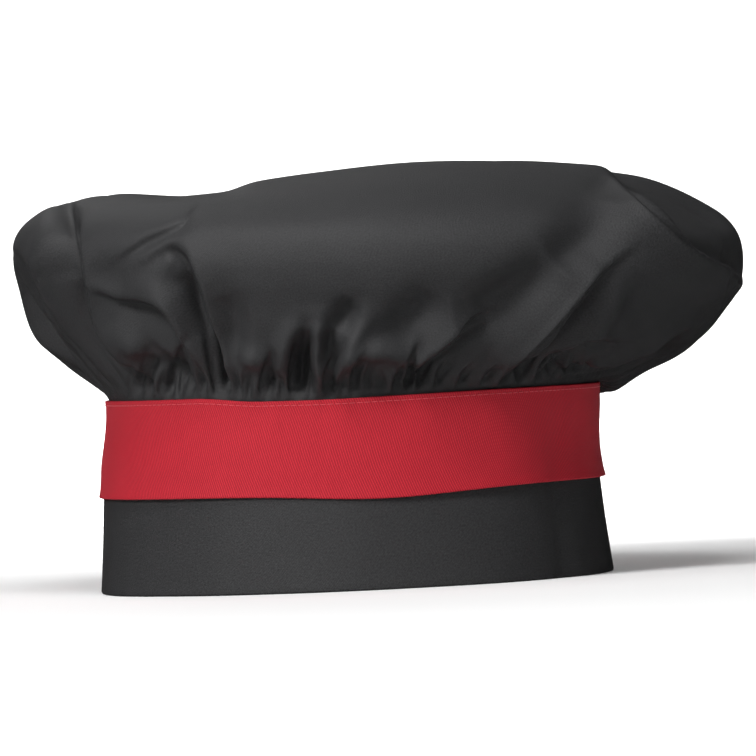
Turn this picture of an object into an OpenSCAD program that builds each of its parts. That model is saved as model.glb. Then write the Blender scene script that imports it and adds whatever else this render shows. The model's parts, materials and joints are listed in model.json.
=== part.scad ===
// Chef toque: a round of twill gathered into a stiffened headband, with a folded
// contrast strip over the upper half of the band and a hook-and-loop flap at the back.
// Millimetres. The origin is the centre of the head opening, in the plane of the rim.
// +Z is up, -Y is the front of the hat and +Y is the back, where the band closes.

/* [Headband] */
// Inside radius of the headband, 93 for a 58 cm head
head_r = 93; // [88:1:98]
// Height of the headband
band_h = 73; // [66:1:84]
// Thickness of the stiffener inside the band
core_t = 1; // [0.8:0.1:1.2]
// Height of the folded contrast strip
strip_h = 37; // [28:1:44]

/* [Cloth] */
// Thickness of one ply of twill
ply_t = 0.5; // [0.4:0.05:0.6]
// Depth of the crown's seam allowance, which sits inside the band
seam_allowance = 11; // [8:1:14]

/* [Crown] */
// Mean reach of the crown from the middle of the hat
crown_reach = 138; // [128:1:146]
// How far the crown leans to the wearer's left, +X
crown_lean = 13.5; // [0:0.5:16]
// Height of the crown above the band
crown_rise = 89; // [78:1:100]
// Number of gathers modelled round the seam
gathers = 20; // [12:1:24]
// Depth of the gathers
gather_depth = 2.5; // [0:0.5:3]

/* [Closure] */
// Length of the flap round the band
flap_l = 54; // [50:1:62]
// Gap between the two ends of the band, which the flap bridges
gap_l = 12; // [8:1:14]
// Width of the hook and loop pads along the band
pad_l = 30; // [24:1:32]
// Height of the hook and loop pads
pad_h = 50; // [40:1:56]

/* [Hidden] */
$fn = 64;

black_twill = [0.20, 0.20, 0.21];
red_twill = [0.72, 0.16, 0.21];
white_canvas = [0.90, 0.89, 0.86];
black_tape = [0.10, 0.10, 0.11];
red_thread = [0.80, 0.22, 0.27];
black_thread = [0.14, 0.14, 0.15];

// Radii of the layers, from the head outwards
band_t = core_t + 2 * ply_t;
band_r = head_r + band_t;
strip_air = 0.2;
strip_t = 2 * ply_t + strip_air;
strip_r = band_r + strip_t;
loop_t = 1.0;
hook_t = 0.8;
pad_gap = 0.3;
loop_r = band_r + loop_t;
hook_r = loop_r + pad_gap;
flap_r = hook_r + hook_t;
flap_t = band_t;
flap_strip_r = flap_r + flap_t;
thread_r = 0.15;
stitch_inset = 1.8;

// Places round the band, in degrees from +X. An arc length is turned into an angle at the band.
function arc_deg(length) = length / band_r * 180 / PI;
back = 90;
hinge_a = back + arc_deg(flap_l) / 2;
flap_end_a = back - arc_deg(flap_l) / 2;
sewn_l = 5;
left_end_a = hinge_a - arc_deg(sewn_l);
right_end_a = left_end_a - arc_deg(gap_l);
pad_margin = 3;
pad_end_a = flap_end_a + arc_deg(pad_margin);
pad_start_a = pad_end_a + arc_deg(pad_l);
pad_z = (band_h - pad_h) / 2;
band_sweep = 360 - (left_end_a - right_end_a);

// The flap turns about an upright axis just outside the strip. What lies further out
// starts a little later, so that the flap can fold back without catching the strip.
hinge_r = strip_r + pad_gap;
heel_w = 2.6;
heel_start = 0.4;
// Radius of the rolled fold on the flap's sewn edge, about which it turns
roll_r = 0.25;
flap_start = 1.7;
flap_strip_start = 2.5;
flap_h = band_h - 1;
flap_strip_h = flap_h - (band_h - strip_h);
strip_overlap = 5;

// A ring of the 2D section in children(), from angle a1 to angle a2 (degrees, a1 < a2)
module ring(a1, a2) {
    rotate([0, 0, a1]) rotate_extrude(angle = a2 - a1) children();
}

// Section of a strip folded at its foot round a core, open at the top, drawn from radius r
module folded_section(r, t, core, h) {
    fold = t / 2 < 0.6 ? t / 2 - 0.05 : 0.55;
    difference() {
        union() {
            translate([r, fold]) square([t, h - fold]);
            translate([r + fold, 0]) square([t - 2 * fold, h / 2]);
            translate([r + fold, fold]) circle(r = fold);
            translate([r + t - fold, fold]) circle(r = fold);
        }
        translate([r + (t - core) / 2, ply_t]) square([core, h]);
    }
}

// Section of a strip whose edges are all closed, round the same core
module closed_section(r, t, core, h) {
    difference() {
        translate([r, 0]) square([t, h]);
        if (core > 0) translate([r + (t - core) / 2, ply_t]) square([core, h - 2 * ply_t]);
    }
}

// A run of thread round the band at radius r and height z
module thread_run(r, z, a1, a2) {
    ring(a1, a2) translate([r + thread_r + 0.01, z]) circle(r = thread_r, $fn = 16);
}

// An upright run of thread at radius r and angle a
module thread_upright(r, a, z1, z2) {
    rotate([0, 0, a]) translate([r + thread_r + 0.02, 0, z1])
        cylinder(r = thread_r, h = z2 - z1, $fn = 16);
}

// ---- Crown: a closed shell whose meridians are two Bezier curves ----

crown_sides = 80;
neck_rings = 4;
under_rings = 9;
over_rings = 9;
crown_rings = neck_rings + under_rings + over_rings;
neck_r = head_r + band_t / 2;
seam_z = band_h + 0.9;
top_z = band_h + crown_rise;
bulge_z = band_h + 48;
bulge_tilt = 10;

function bezier(a, b, c, d, t) =
    pow(1 - t, 3) * a + 3 * pow(1 - t, 2) * t * b + 3 * (1 - t) * t * t * c + pow(t, 3) * d;

// How much a direction faces +X, from 0 at -X to 1 at +X
function rightness(a) = pow((1 + cos(a)) / 2, 2);
// The crown is wider from side to side than from front to back
crown_oval = 4;
function reach(a) = crown_reach + crown_lean * cos(a) + crown_oval * cos(2 * a);
function bulge_height(a) = bulge_z - bulge_tilt * cos(a);

// Meridian of the crown at angle a: [radius, height] at t from 0 (seam) to 2 (apex)
function meridian(a, t) =
    let (
        far = reach(a),
        wide = bulge_height(a),
        level_run = 0.2 + 0.45 * rightness(a),
        shoulder = 0.95 - 0.2 * rightness(a)
    )
    t < 1
    ? bezier(
        [neck_r, seam_z],
        [neck_r + level_run * (far - neck_r), seam_z + 1],
        [far, wide - 0.7 * (wide - seam_z)],
        [far, wide], t)
    : bezier(
        [far, wide],
        [far, wide + shoulder * (top_z - wide)],
        [0.7 * far, top_z + 2 * cos(a)],
        [0, top_z], t - 1);

// The gathers lift the underside of the crown and die out before its widest place
function flute(a, t) =
    t <= 0 || t >= 1.2 ? 0
    : gather_depth * sin(min(90, t * 360)) * pow(cos(t / 1.2 * 90), 2) * (1 - cos(gathers * a)) / 2;

// Position on the outer surface at angle a. t below 0 runs down the neck.
function crown_at(a, t) =
    let (p = t < 0 ? [neck_r + ply_t / 2, seam_z + t * (seam_allowance + 0.9)] : meridian(a, t))
    [p[0] * cos(a), p[0] * sin(a), p[1]];

function unit(v) = v / norm(v);
step_a = 0.5;
step_t = 0.01;
function crown_normal(a, t) =
    t < 0 ? [cos(a), sin(a), 0]
    : t > 1.98 ? [0, 0, 1]
    : unit(cross(
        crown_at(a + step_a, t) - crown_at(a - step_a, t),
        crown_at(a, t + step_t) - crown_at(a, max(t - step_t, 0))));

// A point of the shell: depth 0 is the outer surface and ply_t is the inner one
function shell_point(a, t, depth) =
    crown_at(a, t) - (depth + flute(a, t)) * crown_normal(a, t);

function ring_t(i) =
    i < neck_rings ? i / (neck_rings - 1) - 1
    : i < neck_rings + under_rings ? (i - neck_rings + 0.5) / under_rings
    : 1 + (i - neck_rings - under_rings + 0.4) / over_rings;

function surface_points(depth) = [
    for (i = [0 : crown_rings - 1])
        for (k = [0 : crown_sides - 1])
            shell_point(k * 360 / crown_sides, ring_t(i), depth),
    [0, 0, top_z - depth]
];

// Triangles of one surface whose points start at index base; flip turns it inside out
function surface_faces(base, flip) = [
    for (i = [0 : crown_rings - 2])
        for (k = [0 : crown_sides - 1])
            let (
                a = base + i * crown_sides + k,
                b = base + i * crown_sides + (k + 1) % crown_sides,
                c = a + crown_sides,
                d = b + crown_sides
            )
            each flip ? [[a, d, b], [a, c, d]] : [[a, b, d], [a, d, c]],
    for (k = [0 : crown_sides - 1])
        let (
            top = base + crown_rings * crown_sides,
            a = base + (crown_rings - 1) * crown_sides + k,
            b = base + (crown_rings - 1) * crown_sides + (k + 1) % crown_sides
        )
        flip ? [a, top, b] : [a, b, top]
];

function edge_faces(inner_base) = [
    for (k = [0 : crown_sides - 1])
        let (k2 = (k + 1) % crown_sides)
        each [[k, inner_base + k2, k2], [k, inner_base + k, inner_base + k2]]
];

module crown() {
    inner_base = crown_rings * crown_sides + 1;
    color(black_twill)
        polyhedron(
            points = concat(surface_points(0), surface_points(ply_t)),
            faces = [
                for (f = concat(surface_faces(0, false), surface_faces(inner_base, true),
                    edge_faces(inner_base))) [f[2], f[1], f[0]]
            ]);
}

// Two rows of thread that draw the crown's edge in, between the crown and the band's outer ply
module gathering_threads() {
    thread = 0.09;
    color(black_thread)
        for (z = [band_h - 4, band_h - 7])
            rotate_extrude() translate([head_r + band_t - ply_t - thread - 0.02, z])
                circle(r = thread, $fn = 16);
}

// ---- Headband ----

module headband() {
    color(black_twill) {
        ring(left_end_a, left_end_a + band_sweep)
            folded_section(head_r, band_t, core_t, band_h);
        for (a = [left_end_a, right_end_a - arc_deg(ply_t)])
            ring(a, a + arc_deg(ply_t)) translate([head_r, 0.5]) square([band_t, band_h - seam_allowance - 2]);
    }
}

module band_interlining() {
    color(white_canvas)
        ring(left_end_a + arc_deg(ply_t + 0.2), left_end_a + band_sweep - arc_deg(ply_t + 0.2))
            translate([head_r + ply_t, ply_t])
                square([core_t, band_h - seam_allowance - 1.5 - ply_t]);
}

module contrast_strip() {
    color(red_twill)
        ring(hinge_a + arc_deg(1), 360 + flap_end_a + arc_deg(strip_overlap) - arc_deg(pad_margin + 3))
            translate([0, band_h - strip_h])
                folded_section(band_r, strip_t, strip_air, strip_h);
}

module strip_topstitch() {
    color(red_thread)
        thread_run(strip_r, band_h - stitch_inset, hinge_a + arc_deg(2), 360 + flap_end_a - arc_deg(2));
}

// Tape folded round the crown's raw edge where it crosses the gap in the band
module gap_binding() {
    leg = 0.4;
    crown_room = 1.05;
    tape_r = neck_r - crown_room / 2 - leg;
    foot_z = band_h - seam_allowance - leg - 0.3;
    color(black_tape)
        ring(right_end_a + arc_deg(0.6), left_end_a - arc_deg(0.6)) difference() {
            translate([tape_r, foot_z]) square([crown_room + 2 * leg, seam_allowance]);
            translate([tape_r + leg, foot_z + leg]) square([crown_room, seam_allowance]);
        }
}

// ---- Closure ----

module pad(r, t) {
    ring(pad_end_a, pad_start_a) translate([r, pad_z]) square([t, pad_h]);
}

// Flat thread sewn round the edge of a pad, just inside its border, from radius r outwards
module pad_stitching(r) {
    inset = 2;
    thread_w = 0.4;
    thread_t = 0.08;
    low = pad_z + inset;
    high = pad_z + pad_h - inset;
    a1 = pad_end_a + arc_deg(inset);
    a2 = pad_start_a - arc_deg(inset);
    difference() {
        ring(a1, a2) translate([r, low]) square([thread_t, high - low]);
        ring(a1 + arc_deg(thread_w), a2 - arc_deg(thread_w))
            translate([r - 1, low + thread_w]) square([2, high - low - 2 * thread_w]);
    }
}

module loop_pad() {
    color(black_tape) pad(band_r, loop_t);
}

module loop_pad_stitching() {
    color(black_thread) pad_stitching(loop_r);
}

module closure_flap() {
    color(black_twill) {
        ring(flap_end_a, hinge_a - arc_deg(flap_start))
            closed_section(flap_r, flap_t, core_t, flap_h);
        for (a = [flap_end_a, hinge_a - arc_deg(flap_start + ply_t)])
            ring(a, a + arc_deg(ply_t)) translate([flap_r, 0]) square([flap_t, flap_h]);
        ring(hinge_a - arc_deg(heel_start + heel_w), hinge_a - arc_deg(heel_start))
            translate([band_r + pad_gap, ply_t])
                square([flap_r + ply_t / 2 - band_r - pad_gap, flap_h - 2 * ply_t]);
        ring(hinge_a - arc_deg(heel_start + roll_r), hinge_a)
            translate([hinge_r - roll_r / 2, ply_t]) square([roll_r, flap_h - 2 * ply_t]);
        rotate([0, 0, hinge_a]) translate([hinge_r, 0, ply_t])
            cylinder(r = roll_r, h = flap_h - 2 * ply_t);
    }
}

module flap_interlining() {
    color(white_canvas)
        ring(flap_end_a + arc_deg(ply_t + 0.2), hinge_a - arc_deg(flap_start + ply_t + 0.2))
            translate([flap_r + ply_t, ply_t]) square([core_t, flap_h - 2 * ply_t]);
}

module flap_contrast_strip() {
    color(red_twill)
        ring(flap_end_a, hinge_a - arc_deg(flap_strip_start))
            translate([0, flap_h - flap_strip_h])
                folded_section(flap_strip_r, strip_t, strip_air, flap_strip_h);
}

module flap_topstitch() {
    color(red_thread)
        thread_run(flap_strip_r + strip_t, flap_h - stitch_inset,
            flap_end_a + arc_deg(1.5), hinge_a - arc_deg(flap_strip_start + 1));
}

module flap_end_stitching() {
    a = flap_end_a + arc_deg(2.5);
    color(black_thread) thread_upright(flap_strip_r, a, 2, flap_h - flap_strip_h - 1);
    color(red_thread) thread_upright(flap_strip_r + strip_t, a, flap_h - flap_strip_h + 1.5, flap_h - 3.5);
}

module hook_pad() {
    color(black_tape) pad(hook_r, hook_t);
}

module hook_pad_stitching() {
    color(black_thread) pad_stitching(hook_r - 0.08);
}

// Dense satin stitching that anchors the flap at the foot and the head of its sewn end
module bar_tacks() {
    tack_h = 10;
    tack_t = 0.35;
    tack_w = 1.8;
    a2 = hinge_a - arc_deg(flap_strip_start + 0.8);
    color(black_thread)
        ring(a2 - arc_deg(tack_w), a2) translate([flap_strip_r, 4]) square([tack_t, tack_h]);
    color(red_thread)
        ring(a2 - arc_deg(tack_w), a2)
            translate([flap_strip_r + strip_t, flap_h - 4 - tack_h]) square([tack_t, tack_h]);
}

crown();
gathering_threads();
headband();
band_interlining();
contrast_strip();
strip_topstitch();
gap_binding();
loop_pad();
loop_pad_stitching();
closure_flap();
flap_interlining();
flap_contrast_strip();
flap_topstitch();
flap_end_stitching();
hook_pad();
hook_pad_stitching();
bar_tacks();
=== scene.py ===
"""Chef toque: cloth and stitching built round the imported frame.

Cloth, thread and stitching are worked out in millimetres in the CAD frame, and MM turns them into metres when a mesh
is made. The studio is in metres. +Z is up, -Y is the front. Azimuths round the hat run from +X towards +Y.
"""

import json
import math

import bpy
import numpy as np
from mathutils import Matrix, Vector


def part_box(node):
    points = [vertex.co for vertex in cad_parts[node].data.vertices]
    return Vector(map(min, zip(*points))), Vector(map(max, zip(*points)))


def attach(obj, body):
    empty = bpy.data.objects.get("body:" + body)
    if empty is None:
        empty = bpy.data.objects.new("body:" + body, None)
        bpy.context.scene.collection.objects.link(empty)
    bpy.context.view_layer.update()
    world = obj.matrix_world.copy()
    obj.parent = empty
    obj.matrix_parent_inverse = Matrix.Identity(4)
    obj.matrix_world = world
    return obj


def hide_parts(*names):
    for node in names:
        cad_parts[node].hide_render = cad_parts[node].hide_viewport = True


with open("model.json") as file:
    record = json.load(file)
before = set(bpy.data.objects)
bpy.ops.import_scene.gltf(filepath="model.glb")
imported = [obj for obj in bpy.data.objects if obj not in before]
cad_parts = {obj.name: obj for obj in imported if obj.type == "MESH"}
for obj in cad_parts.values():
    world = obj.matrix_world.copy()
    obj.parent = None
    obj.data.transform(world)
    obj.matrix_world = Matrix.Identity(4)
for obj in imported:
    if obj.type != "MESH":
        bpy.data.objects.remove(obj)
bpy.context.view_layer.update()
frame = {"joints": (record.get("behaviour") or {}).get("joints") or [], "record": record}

MM = 0.001

# ---- Sizes, from the frame ----

band_low, band_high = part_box("headband")
strip_low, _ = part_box("contrast_strip")
BAND_H = band_high.z / MM
STRIP_FOOT = strip_low.z / MM
HEAD_R = frame["record"]["mounts"][0]["dims"]["r_mm"]
BAND_R = -band_low.y / MM
STRIP_R = -strip_low.y / MM

# ---- Crown: a flat round of twill, gathered into the band ----

ROUND_R = 247.0
SEAM_ALLOWANCE = 11.0
SEAM_RHO = ROUND_R - SEAM_ALLOWANCE
TUCK = 4.0      # how far the mesh goes on past the seam, into the band
PLY = 0.5
# Rings of the round's mesh, from its edge inwards: radius where a zone ends, points in a ring, space between rings.
ZONES = [(130.0, 640, 2.3), (96.0, 320, 3.4), (48.0, 160, 3.8), (22.0, 80, 4.2), (6.0, 40, 5.0)]

# Outline of the loosely filled crown in four directions, from the seam to the middle of the round:
# distance from the hat's axis and height.
RIGHT = [(94.5, 71), (103, 73), (114, 78.5), (127, 82.5), (138.5, 88.5), (147, 98), (155, 107), (157, 116),
         (157, 127), (152.5, 134.5), (143, 141.5), (128, 149.5), (108, 155.5), (75, 160), (22, 160.5)]
LEFT = [(94.5, 75), (98, 80), (105, 88), (112, 98), (119, 109), (124.5, 120), (127.5, 132), (124, 142.5),
        (113, 150), (98, 153.5), (70, 154.5), (-22, 160)]
FRONT = [(94.5, 72), (99, 78.5), (103.8, 87), (108.5, 96), (113, 105), (117.5, 114.5), (119.5, 124.5), (117, 135),
         (107, 144.5), (91, 152), (71, 157), (45, 160), (0, 161)]
BACK = [(94.5, 72.5), (103, 75.5), (117, 82), (129, 92), (136, 104), (138, 118), (135, 132), (125, 143.5),
        (104, 152.5), (70, 158), (0, 160.5)]


def smooth_curve(points, count=400):
    """Points evenly spaced by length on a Catmull-Rom curve through the given ones."""
    p = np.array(points, float)
    p = np.vstack([2 * p[0] - p[1], p, 2 * p[-1] - p[-2]])
    t = np.linspace(0, 1, 24, endpoint=False)[:, None]
    pieces = []
    for i in range(1, len(p) - 2):
        a, b, c, d = p[i - 1], p[i], p[i + 1], p[i + 2]
        pieces.append(0.5 * (2 * b + (c - a) * t + (2 * a - 5 * b + 4 * c - d) * t ** 2
                             + (3 * b - a - 3 * c + d) * t ** 3))
    pieces.append(p[-2][None])
    line = np.vstack(pieces)
    run = np.concatenate([[0], np.cumsum(np.linalg.norm(np.diff(line, axis=0), axis=1))])
    at = np.linspace(0, run[-1], count)
    return np.stack([np.interp(at, run, line[:, k]) for k in range(line.shape[1])], 1)


OUTLINES = {name: smooth_curve(points) for name, points in
            (("right", RIGHT), ("left", LEFT), ("front", FRONT), ("back", BACK))}


def loft(a, f):
    """Point of the crown's smooth form at azimuth a (radians) and share f of the way from the seam to the middle."""
    grid = np.linspace(0, 1, 400)
    x, z = {}, {}
    for name, line in OUTLINES.items():
        x[name], z[name] = np.interp(f, grid, line[:, 0]), np.interp(f, grid, line[:, 1])
    c, s = np.cos(a), np.sin(a)
    px = (x["right"] - x["left"]) / 2 + (x["right"] + x["left"]) / 2 * c
    py = (x["back"] - x["front"]) / 2 + (x["back"] + x["front"]) / 2 * s
    mean = (z["right"] + z["left"] + z["front"] + z["back"]) / 4
    pz = (mean + (z["right"] - z["left"]) / 2 * c + (z["back"] - z["front"]) / 2 * s
          + (z["right"] + z["left"] - z["front"] - z["back"]) / 4 * np.cos(2 * a))
    return np.stack([px, py, pz], -1)


def smoothstep(low, high, x):
    t = np.clip((x - low) / (high - low), 0, 1)
    return t * t * (3 - 2 * t)


def periodic_noise(a, rng, waves):
    """Smooth noise round the hat, about -1 to 1, as a sum of waves with whole numbers of turns."""
    total = np.zeros_like(a)
    for n in waves:
        total += rng.normal() * np.cos(n * a) + rng.normal() * np.sin(n * a)
    return total / math.sqrt(len(waves))


def round_of_cloth():
    """Radius and number of points of each ring of the flat round."""
    rho, count = [SEAM_RHO + TUCK], [ZONES[0][1]]
    for inner, n, step in ZONES:
        start = rho[-1]
        rings = max(1, round((start - inner) / step))
        for i in range(rings):
            rho.append(start + (inner - start) * (i + 1) / rings)
            count.append(n)
    return np.array(rho), np.array(count)


def build_round():
    """The flat round's points as radius and azimuth, and its faces: quads, and triangles where a zone changes."""
    ring_rho, ring_count = round_of_cloth()
    first = np.concatenate([[0], np.cumsum(ring_count)])
    rho = np.repeat(ring_rho, ring_count)
    angle = np.concatenate([np.arange(n) * 2 * math.pi / n for n in ring_count])
    faces = []
    for r in range(len(ring_rho) - 1):
        n, m = ring_count[r], ring_count[r + 1]
        a, b = first[r], first[r + 1]
        if n == m:
            faces += [(a + k, a + (k + 1) % n, b + (k + 1) % n, b + k) for k in range(n)]
        else:
            for k in range(m):
                a0, a1, a2 = a + 2 * k, a + 2 * k + 1, a + (2 * k + 2) % n
                faces += [(a0, a1, b + k), (a1, a2, b + (k + 1) % m, b + k)]
    middle = first[-1]
    last, n = first[-2], ring_count[-1]
    faces += [(last + k, last + (k + 1) % n, middle) for k in range(n)]
    return np.append(rho, 0.0), np.append(angle, 0.0), faces


def wave_steepness(ratio):
    """How steep (amplitude times wave number) a wave has to be to take up that much length."""
    steep = np.linspace(0, 6, 121)
    phase = np.linspace(0, 2 * math.pi, 200)
    lengths = np.array([np.sqrt(1 + (s * np.cos(phase)) ** 2).mean() for s in steep])
    return np.interp(ratio, lengths, steep)


# Folds of the crown. Each one is (shape, rise_mm, width_mm, points). The points of the front's folds are the places
# (x, z) where an eye VIEW_MM in front of the hat sees them. A crease is the edge of cloth that lies over cloth: it
# takes (rise, sink) and (width, width), the first for the upper cloth, to the right of its run of points.
VIEW_MM = 3000.0
EYE_X, EYE_Z = 10.0, 110.0
FOLD_DEPTH = 1.35       # times the rises given in the lists
LEFT_EDGE = [(-80, 79), (-83, 84), (-87.6, 88.6), (-92, 94), (-94.4, 98), (-97, 104.6), (-98.8, 111), (-99.4, 120),
             (-100.5, 128), (-102, 139), (-103, 153)]
OUTER_EDGE = [(-97, 79), (-100.5, 84), (-106, 94), (-110.5, 101), (-115, 110), (-119.7, 122), (-122.8, 130),
              (-126.3, 134)]
GROOVE = [(-58, 145.5), (-60.6, 142.4), (-66, 140), (-73.9, 137), (-79.8, 133.8), (-88.3, 128.3)]
LOBE = [(-61, 84.5), (-63.4, 95.7), (-67, 105), (-75.4, 111.5), (-86.5, 113.4), (-96, 118)]
SWIRL = [(-49, 76), (-50, 83), (-50.4, 92.6), (-51.6, 100.3), (-53.7, 108.8), (-55.3, 116.5), (-58, 124),
         (-60.6, 129.8), (-65.3, 133.5), (-70.2, 131.4)]
SLANT = [(57, 99.5), (48.8, 96.7), (38.8, 89.3), (29.8, 83), (20.7, 76.6)]
LONG_EDGE = [(104.5, 117.5), (100, 114), (94.9, 108.3), (89.9, 102.7), (83.7, 96.2), (77.5, 90.1), (71.5, 85),
             (64.4, 79), (59.4, 74.5)]
SHORT_EDGE = [(104, 89), (96.1, 89.3), (91.2, 88.5), (85.3, 85.9), (78.6, 81.8), (75, 78), (73, 74.5)]
LOW_EDGE = [(132, 91), (129, 90), (125, 87.5), (120, 83.3), (114, 82.1), (106, 79.6), (99.4, 77.9), (90.6, 76.9),
            (81, 75.4)]
SHOULDER = [(106.7, 154), (111.3, 148.4), (117.8, 141.8), (124.3, 135.7), (130.9, 129.5), (137.4, 123.4), (144, 119.2),
            (150.7, 115.5), (156, 111)]
TIP = [(151.5, 117), (150.3, 110), (148.5, 104), (146.5, 99)]
FRONT_FOLDS = [
    # left end
    ("ridge", 2.5, 5, [(-108, 153), (-112, 143), (-116, 133), (-117, 124)]),
    ("valley", 3.0, 6, [(-103, 152), (-106, 141), (-108, 130), (-106, 120)]),
    ("crease", (2.0, 5.5), (16, 9), LEFT_EDGE),
    ("crease", (1.0, 3.0), (8, 8), OUTER_EDGE),
    ("crease", (1.5, 4.2), (10, 12), LOBE),
    ("valley", 2.0, 7, [(-97, 127), (-90, 123), (-82, 120)]),
    ("ridge", 2.5, 6, [(-90, 106), (-84, 98), (-78, 92), (-74, 86)]),
    ("valley", 4.0, 3.2, [(-83, 91), (-76, 86.5), (-72, 82.8), (-69.6, 77)]),
    ("valley", 2.5, 2.5, [(-77.5, 97), (-74, 91), (-70, 85.5), (-67, 79)]),
    # swirl
    ("crease", (0.4, 1.1), (8, 5), GROOVE),
    ("crease", (2.0, 4.5), (12, 8), SWIRL),
    ("ridge", 2.5, 4.0, [(-76, 118), (-69, 113.4), (-65.4, 107.7), (-64.3, 100), (-63.7, 92.3), (-62, 85.6),
                         (-60, 77)]),
    ("valley", 4.5, 3.8, [(-67, 120), (-62, 116), (-59.5, 109), (-57.5, 102), (-56, 95)]),
    ("valley", 4.0, 6, [(-47, 114), (-44, 105), (-44.5, 95), (-47, 84)]),
    # centre
    ("ridge", 5.0, 3.8, [(-9.5, 103), (-10.2, 95), (-11, 88), (-12.5, 79)]),
    ("valley", 5.5, 3.6, [(-13, 99), (-16.8, 90), (-19.5, 82), (-22, 75)]),
    ("valley", 4.5, 3.0, [(-6, 99), (-7.2, 91), (-9.5, 83.5)]),
    ("ridge", 3.0, 4.5, [(-17, 103), (-23, 92), (-26, 84), (-29, 77)]),
    ("valley", 3.0, 5, [(-38, 86), (-32, 82), (-27, 78)]),
    ("ridge", 3.0, 4, [(-44, 90), (-35, 86.5), (-28, 81)]),
    ("ridge", 4.0, 4, [(8, 102), (1.5, 92), (-4, 84), (-9, 76)]),
    ("ridge", 4.0, 4, [(-2, 82), (5.7, 88), (14.5, 89), (24, 85)]),
    ("valley", 4.0, 5, [(5, 108), (1.4, 103.7), (0, 96)]),
    ("valley", 4.0, 8, [(38, 109), (27, 102), (20, 95), (17, 90)]),
    ("crease", (3.0, 4.5), (9, 8), SLANT),
    # right
    ("valley", 5.5, 9, [(42, 101), (53, 102), (63, 106), (74, 112), (84, 120)]),
    ("valley", 4.5, 11, [(84, 120), (93, 126), (100, 134), (104, 143)]),
    ("crease", (4.5, 4.5), (11, 8), LONG_EDGE),
    ("ridge", 3.5, 6, [(107, 113), (103, 104), (98, 98), (92, 93)]),
    ("crease", (2.5, 4.0), (8, 6), SHORT_EDGE),
    ("crease", (2.0, 5.0), (7, 8), LOW_EDGE),
    ("crease", (5.5, 5.5), (15, 40), SHOULDER),
    ("crease", (1.5, 3.0), (8, 5), TIP),
]
# Pleats where the front of the crown is sewn in: place of each valley at the seam, its lean, its height, its width.
SEAM_PLEATS = [(-86, 3, 10, 1.6), (-80.5, 4, 15, 2.0), (-74, 4, 8, 1.8), (-69, 7, 17, 2.3), (-64.5, 1, 9, 1.6),
               (-58.5, -3, 13, 1.8), (-51, -3, 19, 2.4), (-45, -1, 8, 1.6), (-41, 2, 7, 1.4), (-33.5, 5, 12, 2.0),
               (-28, 1, 6, 1.4), (-21.5, 3, 16, 2.0), (-16.5, 2, 9, 1.6), (-8.7, 8, 15, 2.3), (-4, 5, 8, 1.5),
               (1, 7, 11, 1.8), (6, 3, 7, 1.5), (12, -1, 5, 1.4), (18, 4, 6, 1.6), (23, 6, 13, 2.0),
               (27.5, 6, 9, 1.8), (34, 6, 5, 1.4), (43, 5, 4, 1.4), (52, 6, 4, 1.4), (60, 6, 5, 1.7),
               (67, 8, 9, 1.8), (74, 7, 6, 1.6), (80, 6, 7, 1.6), (86, 5, 6, 1.6), (90, 4, 5, 1.4)]
PLEAT_FOOT = 73.5       # height at which every pleat starts, just above the band


def pleat_run(x, lean, tall):
    """Run of points of a pleat, up from the seam."""
    return [(x, PLEAT_FOOT), (x + 0.3 * lean, 74 + 0.6 * tall), (x + lean, 75 + 1.25 * tall)]


PLEAT_FOLDS = [("valley", 2.0 * wide, 0.85 * wide, pleat_run(x, lean, tall)) for x, lean, tall, wide in SEAM_PLEATS]
# The same edges again, narrow and sharp, for the finished mesh.
FRONT_EDGES = [("crease", (high, low), (wide, wide), run) for high, low, wide, run in (
    (0.7, 1.0, 3.0, LEFT_EDGE), (0.5, 0.7, 2.5, OUTER_EDGE), (0.3, 0.5, 3.0, GROOVE), (0.4, 0.8, 3.0, SWIRL),
    (0.7, 1.0, 3.0, SLANT), (0.9, 1.3, 3.0, LONG_EDGE), (0.9, 1.3, 2.5, SHORT_EDGE), (0.8, 1.2, 2.5, LOW_EDGE),
    (0.8, 1.2, 3.0, SHOULDER), (0.5, 0.6, 2.5, TIP), (0.2, 0.4, 3.0, LOBE))]
FRONT_EDGES += [("valley", 0.55 * wide, 0.55 * wide, pleat_run(x, lean, tall)) for x, lean, tall, wide in SEAM_PLEATS]
# Soft folds on the top, on the plan (x, y).
TOP_FOLDS = [
    ("valley", 3.0, 12, [(-70, 96), (-44, 66), (-12, 46), (30, 42)]),
    ("crease", (1.5, 2.5), (14, 10), [(70, 34), (44, 50), (28, 74), (20, 104)]),
    ("valley", 2.5, 12, [(-100, 30), (-70, 18), (-40, 22), (-14, 8)]),
    ("crease", (1.0, 2.2), (12, 9), [(-34, -38), (-6, -22), (26, -18), (54, -30)]),
    ("valley", 3.0, 13, [(116, -14), (94, 6), (88, 36), (98, 66)]),
    ("crease", (1.0, 2.0), (10, 8), [(-92, -34), (-74, -14), (-68, 12)]),
    ("valley", 2.0, 8, [(8, 96), (-4, 76), (-22, 70)]),
    ("valley", 1.8, 10, [(20, 12), (44, 6), (66, 12)]),
]


def along(points, x, y):
    """Nearest place on a run of points: distance (positive to the right of the run) and share of the run."""
    p = smooth_curve(points, 24)
    best = np.full(x.shape, 1e9)
    side, share = np.zeros(x.shape), np.zeros(x.shape)
    for i in range(len(p) - 1):
        d = p[i + 1] - p[i]
        t = np.clip(((x - p[i, 0]) * d[0] + (y - p[i, 1]) * d[1]) / (d @ d), 0, 1)
        gx, gy = x - p[i, 0] - t * d[0], y - p[i, 1] - t * d[1]
        dist = np.hypot(gx, gy)
        near = dist < best
        best = np.where(near, dist, best)
        side = np.where(near, np.sign(d[1] * gx - d[0] * gy), side)
        share = np.where(near, (i + t) / (len(p) - 1), share)
    return best * side, share


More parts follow.
